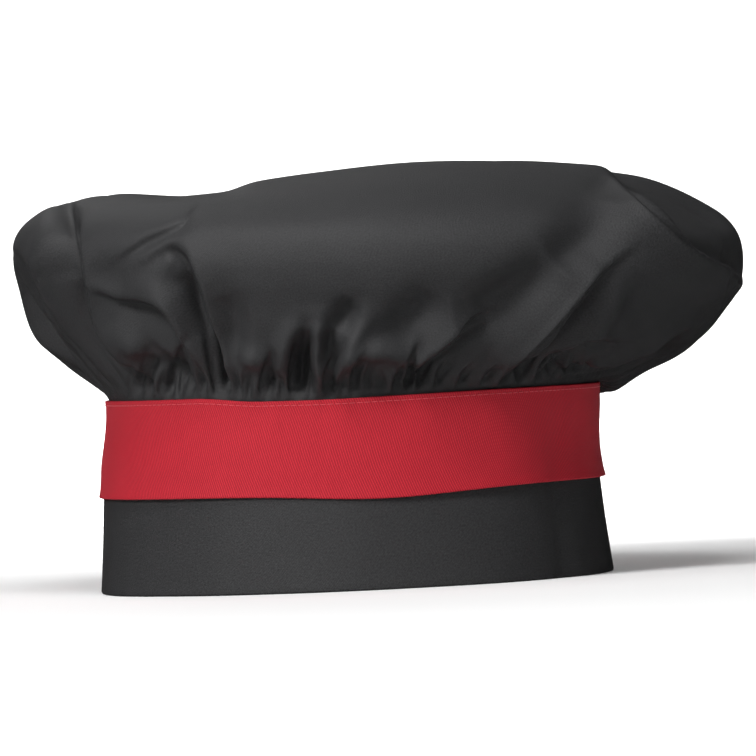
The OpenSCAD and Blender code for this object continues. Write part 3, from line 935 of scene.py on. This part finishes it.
def stitches(lines, r, outward=1, thick=0.16, pitch=2.8, bite=0.45):
    """Sewn lines on the surface at radius r. Each line runs between two (azimuth, height) places, in degrees and
    millimetres, and each stitch dips into the cloth at both ends."""
    tubes = []
    t = np.array([0, 0.08, 0.25, 0.5, 0.75, 0.92, 1.0])
    girth = thick * np.array([0.45, 0.8, 1, 1.05, 1, 0.8, 0.45])
    height = thick * (0.75 * np.sin(math.pi * t) ** 0.5 * 1.9 - 1.15)
    for (a0, z0), (a1, z1) in lines:
        length = math.hypot(math.radians(a1 - a0) * r, z1 - z0)
        count = max(1, round(length / pitch))
        each = length / count
        for c in range(count):
            s = (c + 0.5 + (t - 0.5) * (1 - bite / each)) / count
            a, z = np.radians(a0 + (a1 - a0) * s), z0 + (z1 - z0) * s
            rr = r + outward * height
            centre = np.stack([rr * np.cos(a), rr * np.sin(a), z], 1)
            out = np.stack([np.cos(a), np.sin(a), np.zeros_like(a)], 1) * outward
            ahead = unit(np.gradient(centre, axis=0))
            across = unit(np.cross(ahead, out))
            tubes.append(tube(centre, np.cross(across, ahead), across, girth, 6, list(zip(s[:-1], s[1:])), (0, 0)))
    return together(*tubes)


def piece(name, shape, slot, body, node, place=None, red_from=None):
    """A visible piece from (points, faces, corner_uv), after place has moved its points. It rides on the body and
    replaces the CAD node. red_from is the height (mm) above which black sewing turns red, because it lies on the
    red strip."""
    points, faces, corner_uv = shape
    obj = new_mesh(name, points if place is None else place(points), faces, MATERIALS[slot])
    layer = obj.data.uv_layers.new(name="cloth")
    layer.data.foreach_set("uv", corner_uv.astype(np.float32).ravel())
    if red_from is not None:
        obj.data.materials.append(MATERIALS["red_thread"])
        for polygon in obj.data.polygons:
            if polygon.center.z > red_from * MM:
                polygon.material_index = 1
    return finish_piece(obj, body, node)


def settled_strip(points):
    return settle(points, strip=True)


# ---- Headband, strip and what is sewn to them ----

BAND_T = BAND_R - HEAD_R
BAND_TOP_IN = BAND_H - SEAM_ALLOWANCE - 1.5     # top of what lies inside the band
BAND_A0, BAND_A1 = LEFT_END_A, 360 + RIGHT_END_A
band_end = slab(HEAD_R + 0.02, BAND_T - 0.04, 0.5, BAND_TOP_IN, 0.6)
headband = piece("band_cloth", together(
    swept(folded_cloth(HEAD_R, BAND_T, 0, BAND_H), BAND_A0, BAND_A1),
    swept(band_end, BAND_A0 - arc(0.25), BAND_A0 + arc(0.4), 0.3, 0.2),
    swept(band_end, BAND_A1 - arc(0.4), BAND_A1 + arc(0.25), 0.3, 0.2)), "black_twill", "hat", "headband", settle)
piece("band_stiffener", swept(
    slab(HEAD_R + PLY + 0.05, BAND_T - 2 * PLY - 0.1, PLY + 0.1, BAND_TOP_IN, 0.2),
    BAND_A0 + arc(0.7), BAND_A1 - arc(0.7), 2.0), "interlining", "hat", "band_interlining", settle)


def strip_section(r, low, high):
    """The strip in section: doubled cloth, thicker where its edges are folded."""
    outline = slab(r + 0.04, STRIP_T - 0.04, low, high, 0.55, 0.9)
    part = (outline[:, 1] - low) / (high - low)
    flat = smoothstep(0.0, 0.10, part) * (1 - smoothstep(0.93, 1.0, part))
    outline[:, 0] -= np.where(outline[:, 0] > r + STRIP_T / 2, 0.28 * flat, 0)
    return outline


strip_start, strip_end = HINGE_A + arc(1), 360 + FLAP_END_A - arc(1)
SEWING_DOWN = 1.8       # topstitching below the strip's top edge
piece("strip_cloth", swept(strip_section(BAND_R, STRIP_FOOT, BAND_H), strip_start, strip_end, 1.4, 0.6), "red_twill",
      "hat", "contrast_strip", settled_strip)
sewing_z = BAND_H - SEWING_DOWN
piece("strip_sewing", stitches([((strip_start + arc(1), sewing_z), (strip_end - arc(1), sewing_z))], STRIP_R - 0.13),
      "red_thread", "hat", "strip_topstitch", settled_strip)
piece("gathering_sewing", stitches(
    [((0, z), (359.5, z)) for z in (BAND_H - 4, BAND_H - 7)], NECK_R + 0.08, 1, 0.06, 4.0),
      "black_thread", "hat", "gathering_threads", settle)

binding_low = BAND_H - SEAM_ALLOWANCE - 0.7
binding_section = folded_cloth(NECK_R - 0.3 - 0.925, 1.85, binding_low, binding_low + SEAM_ALLOWANCE)
piece("gap_tape", swept(binding_section, RIGHT_END_A + arc(0.6), LEFT_END_A - arc(0.6), 0.8), "black_tape",
      "hat", "gap_binding")


# ---- Closure: pads, flap and their sewing ----

PAD_LONG, PAD_HIGH = 30, 50
PAD_A0 = FLAP_END_A + arc(3)
PAD_A1 = PAD_A0 + arc(PAD_LONG)
PAD_Z0, PAD_Z1 = (BAND_H - PAD_HIGH) / 2, (BAND_H + PAD_HIGH) / 2


def pad_frame(inset):
    """The four lines of a box stitch that far inside the pad's edge."""
    a0, a1, z0, z1 = PAD_A0 + arc(inset), PAD_A1 - arc(inset), PAD_Z0 + inset, PAD_Z1 - inset
    return [((a0, z0), (a1, z0)), ((a1, z0), (a1, z1)), ((a1, z1), (a0, z1)), ((a0, z1), (a0, z0))]


def hook_bow(steps, height, way):
    """A hook from the side (mm along the pad, mm up): an upright stem, then a bend over to one way."""
    bent = np.clip((steps - 0.55) / 0.45, 0, None)
    over = way * 0.30 * np.sin(bent * math.pi) * height
    over += np.where(steps > 0.55, way * (steps - 0.55) * 0.8 * height, 0)
    up = np.where(steps < 0.55, steps / 0.55 * 0.9, 0.9 - 0.35 * bent ** 2 + 0.1 * np.sin(bent * math.pi)) * height
    return over, up


def pile(r, outward, height, pitch, thick, hooked, seed):
    """Loops or hooks standing on the pad's base at radius r, in staggered rows."""
    rng = np.random.default_rng(seed)
    tubes = []
    steps = np.linspace(0, 1, 7)
    rows = int((PAD_Z1 - PAD_Z0 - 1.4) / pitch)
    cols = int(PAD_LONG / pitch) - 1
    jitter = 0.0 if hooked else 0.25 * pitch
    for row in range(rows):
        for col in range(cols):
            u = 0.9 + (col + 0.5 * (row % 2)) * pitch
            z = PAD_Z0 + 0.9 + row * pitch
            u += rng.uniform(-jitter, jitter)
            z += rng.uniform(-jitter, jitter)
            edge = min(u, PAD_LONG - u, z - PAD_Z0, PAD_Z1 - z)
            if u > PAD_LONG - 0.8 or 1.4 < edge < 2.6:      # past the end, or where the box stitch runs
                continue
            lean = 0.0 if hooked else rng.uniform(0, math.pi)
            if hooked:
                side, up = hook_bow(steps, height, 1 if row % 2 else -1)
            else:
                size = height * rng.uniform(0.75, 1.0)
                side, up = 0.42 * pitch * np.cos(math.pi * steps), size * np.sin(math.pi * steps)
            a = math.radians(PAD_A0) + (u + side * math.cos(lean)) / BAND_R
            rr = r + outward * (up - 0.05)
            centre = np.stack([rr * np.cos(a), rr * np.sin(a), z + side * math.sin(lean)], 1)
            ahead = unit(np.gradient(centre, axis=0))
            ref = np.array([-math.sin(a[0]) * math.sin(lean), math.cos(a[0]) * math.sin(lean), -math.cos(lean)])
            across = unit(np.cross(ahead, ref))
            tubes.append(tube(centre, across, np.cross(ahead, across), thick, 4, [(u, u + 0.1)] * 6, (u, z)))
    return together(*tubes)


def pad(r, t):
    return swept(slab(r, t, PAD_Z0, PAD_Z1), PAD_A0, PAD_A1, 1.4, 0.3)


piece("loop_tape", together(pad(BAND_R + 0.02, 0.5), pile(BAND_R + 0.5, 1, 0.48, 0.95, 0.06, False, 3)), "loop_tape",
      "hat", "loop_pad")
piece("loop_sewing", stitches(pad_frame(2), BAND_R + 0.55, 1, 0.14, 2.4), "black_thread", "hat", "loop_pad_stitching")
piece("hook_tape", together(pad(FLAP_R - 0.36, 0.34), pile(FLAP_R - 0.34, -1, 0.42, 1.15, 0.07, True, 5)), "hook_tape",
      "closure", "hook_pad")
piece("hook_sewing", stitches(pad_frame(2), FLAP_R - 0.40, -1, 0.12, 2.4), "black_thread",
      "closure", "hook_pad_stitching")

flap_far_end = HINGE_A - arc(1.7)
flap_end = slab(FLAP_R + 0.01, FLAP_T - 0.02, 0.02, FLAP_H - 0.02, 0.9, 2)
heel = slab(BAND_R + 0.32, FLAP_R + 0.25 - BAND_R - 0.32, PLY, FLAP_H - PLY, 0.5)
roll = slab(HINGE_R - 0.24, 0.48, PLY + 0.05, FLAP_H - PLY - 0.05, 0.23)
web = slab(HINGE_R - 0.12, 0.24, PLY + 0.05, FLAP_H - PLY - 0.05, 0.1)
piece("flap_cloth", together(
    swept(folded_cloth(FLAP_R, FLAP_T, 0, FLAP_H, shut=True), FLAP_END_A + arc(0.2), flap_far_end - arc(0.2), 1.2),
    swept(flap_end, FLAP_END_A, FLAP_END_A + arc(1.0), 0.3, 0.7),
    swept(flap_end, flap_far_end - arc(1.0), flap_far_end, 0.3, 0.7),
    swept(heel, HINGE_A - arc(3.0), HINGE_A - arc(0.4), 0.4, 0.5),
    swept(web, HINGE_A - arc(0.65), HINGE_A, 0.2),
    swept(roll, HINGE_A - arc(0.24), HINGE_A + arc(0.24), 0.1, 0.22)), "black_twill", "closure", "closure_flap")
piece("flap_stiffener", swept(
    slab(FLAP_R + PLY + 0.05, FLAP_T - 2 * PLY - 0.1, PLY + 0.4, FLAP_H - PLY - 0.4, 0.2),
    FLAP_END_A + arc(1.2), flap_far_end - arc(1.2), 2.0), "interlining", "closure", "flap_interlining")

flap_strip_end = HINGE_A - arc(2.5)
flap_foot = FLAP_H - (BAND_H - STRIP_FOOT) + 1
piece("flap_strip_cloth", swept(strip_section(FLAP_STRIP_R, flap_foot, FLAP_H), FLAP_END_A, flap_strip_end, 1.2, 0.6),
      "red_twill", "closure", "flap_contrast_strip")
sewing_z = FLAP_H - SEWING_DOWN
piece("flap_strip_sewing", stitches([((FLAP_END_A + arc(1.5), sewing_z), (flap_strip_end - arc(1), sewing_z))],
                                    FLAP_STRIP_R + STRIP_T - 0.13), "red_thread", "closure", "flap_topstitch")

sewing_a = FLAP_END_A + arc(2.5)
piece("flap_end_sewing", together(
    stitches([((sewing_a, 2), (sewing_a, flap_foot - 1))], FLAP_STRIP_R),
    stitches([((sewing_a, flap_foot + 1.5), (sewing_a, FLAP_H - 3.5))], FLAP_STRIP_R + STRIP_T - 0.28)),
      "black_thread", "closure", "flap_end_stitching", red_from=flap_foot + 0.5)


def bar_tack(low, r):
    """Satin stitches side by side across the flap's sewn end."""
    a1 = HINGE_A - arc(3.3)
    a0 = a1 - arc(1.8)
    ways = [((a0, a1) if k % 2 else (a1, a0), low + 10 * k / 26) for k in range(26)]
    return stitches([((a, z), (b, z + 0.19)) for (a, b), z in ways], r + 0.12, 1, 0.2, 1.8, 0.05)


piece("flap_tacks", together(bar_tack(4, FLAP_STRIP_R), bar_tack(FLAP_H - 14, FLAP_STRIP_R + STRIP_T - 0.25)),
      "black_thread", "closure", "bar_tacks", red_from=30)


# ---- The crown's mesh ----

crown_points, crown_faces, crown_flat = crown_cloth()
crown = new_mesh("crown_cloth", crown_points, crown_faces, MATERIALS["black_twill"], uv=crown_flat[:, :2])
subdivide(crown)
smooth_points = points_of(crown)
crown_normals = np.zeros(len(smooth_points) * 3, np.float32)
crown.data.vertex_normals.foreach_get("vector", crown_normals)
rise = front_folds(FRONT_EDGES, smooth_points, 0.35) * smoothstep(BAND_H + 1, BAND_H + 5, smooth_points[:, 2])
set_points(crown, smooth_points + crown_normals.reshape(-1, 3) * rise[:, None])
thicken(crown, PLY)
finish_piece(crown, "hat", "crown")


# ---- Studio ----

PAPER_SIDE, PAPER_BEND, PAPER_RADIUS, PAPER_TOP = 7.0, 5.6, 2.0, 6.0


def sweep_of_paper():
    """A floor that curves up into a wall, well behind the hat."""
    line = [(-PAPER_SIDE, 0.0), (PAPER_BEND, 0.0)]
    line += [(PAPER_BEND + PAPER_RADIUS * math.sin(t), PAPER_RADIUS - PAPER_RADIUS * math.cos(t))
             for t in np.linspace(0, math.pi / 2, 24)[1:]]
    line += [(PAPER_BEND + PAPER_RADIUS, PAPER_TOP)]
    xs = np.linspace(-PAPER_SIDE, PAPER_SIDE, 15)
    points = [(x * 1000, y * 1000, z * 1000 - 0.05) for y, z in line for x in xs]
    m = len(xs)
    faces = [(i * m + j, i * m + j + 1, (i + 1) * m + j + 1, (i + 1) * m + j)
             for i in range(len(line) - 1) for j in range(m - 1)]
    n = Nodes("paper")
    grain = n.noise(n.object_place(), 40.0, 6.0, 0.6)
    material = n.finish(n.ramp(grain, (0.90, 0.90, 0.90), (0.94, 0.94, 0.94)), n.bump(grain, 0.05), 0.85, 0.1)
    # A faint glow keeps the hat's shadow light.
    n.shader.inputs["Emission Color"].default_value = (1, 1, 1, 1)
    n.shader.inputs["Emission Strength"].default_value = 0.1
    return new_mesh("floor", points, faces, material)


floor = sweep_of_paper()
floor.visible_glossy = False


def lamp(name, kind, place, target, power):
    """A lamp that points at the target. Returns its settings."""
    light = bpy.data.lights.new(name, kind)
    light.energy = power
    obj = bpy.data.objects.new(name, light)
    bpy.context.scene.collection.objects.link(obj)
    obj.location = place
    obj.rotation_euler = (Vector(target) - Vector(place)).to_track_quat("-Z", "Y").to_euler()
    return light


for name, place, height, size, power in (
        ("key", (-1.5, -1.8, 1.55), 0.09, (0.7, 0.7), 50), ("front", (0.8, -2.5, 1.1), 0.09, (0.8, 0.7), 5),
        ("front_top", (0.0, -1.3, 2.0), 0.09, (0.8, 0.7), 22), ("top", (-0.4, -0.1, 2.3), 0.1, (1.3, 1.1), 6),
        ("back", (-0.7, 2.0, 1.7), 0.12, (1.0, 0.8), 6)):
    soft_box = lamp(name, "AREA", place, (0, 0, height), power)
    soft_box.shape = "RECTANGLE"
    soft_box.size, soft_box.size_y = size

# Two spots whiten the paper behind the hat without reaching the hat.
for name, place, target, power, cone in (("near_paper", (0, 1.1, 2.6), (0, 2.0, 0), 560, 78),
                                         ("far_paper", (0, 3.2, 3.4), (0, 5.4, 0.2), 1500, 90)):
    spot = lamp(name, "SPOT", place, target, power)
    spot.spot_size = math.radians(cone)
    spot.spot_blend = 0.5
    spot.shadow_soft_size = 0.1

world = bpy.data.worlds.new("room")
bpy.context.scene.world = world
world.use_nodes = True
world.node_tree.nodes["Background"].inputs["Color"].default_value = (1, 1, 1, 1)
world.node_tree.nodes["Background"].inputs["Strength"].default_value = 0.03


# ---- Camera ----

DISTANCE, VIEW_WIDTH, SENSOR_MM = 3.0, 0.2936, 36
ELEVATION, ROLL = math.radians(0.6), math.radians(-2.6)
aim = Vector((0.0123, 0.0, 0.0787))
away = Vector((0, -math.cos(ELEVATION), math.sin(ELEVATION)))
camera_data = bpy.data.cameras.new("camera")
camera_data.sensor_width = SENSOR_MM
camera_data.lens = SENSOR_MM * DISTANCE / VIEW_WIDTH
camera_data.clip_end = 100
camera = bpy.data.objects.new("camera", camera_data)
bpy.context.scene.collection.objects.link(camera)
turn = (-away).to_track_quat("-Z", "Y").to_matrix() @ Matrix.Rotation(ROLL, 3, "Z")
camera.matrix_world = Matrix.Translation(aim + DISTANCE * away) @ turn.to_4x4()
bpy.context.scene.camera = camera
bpy.context.scene.view_settings.view_transform = "Standard"
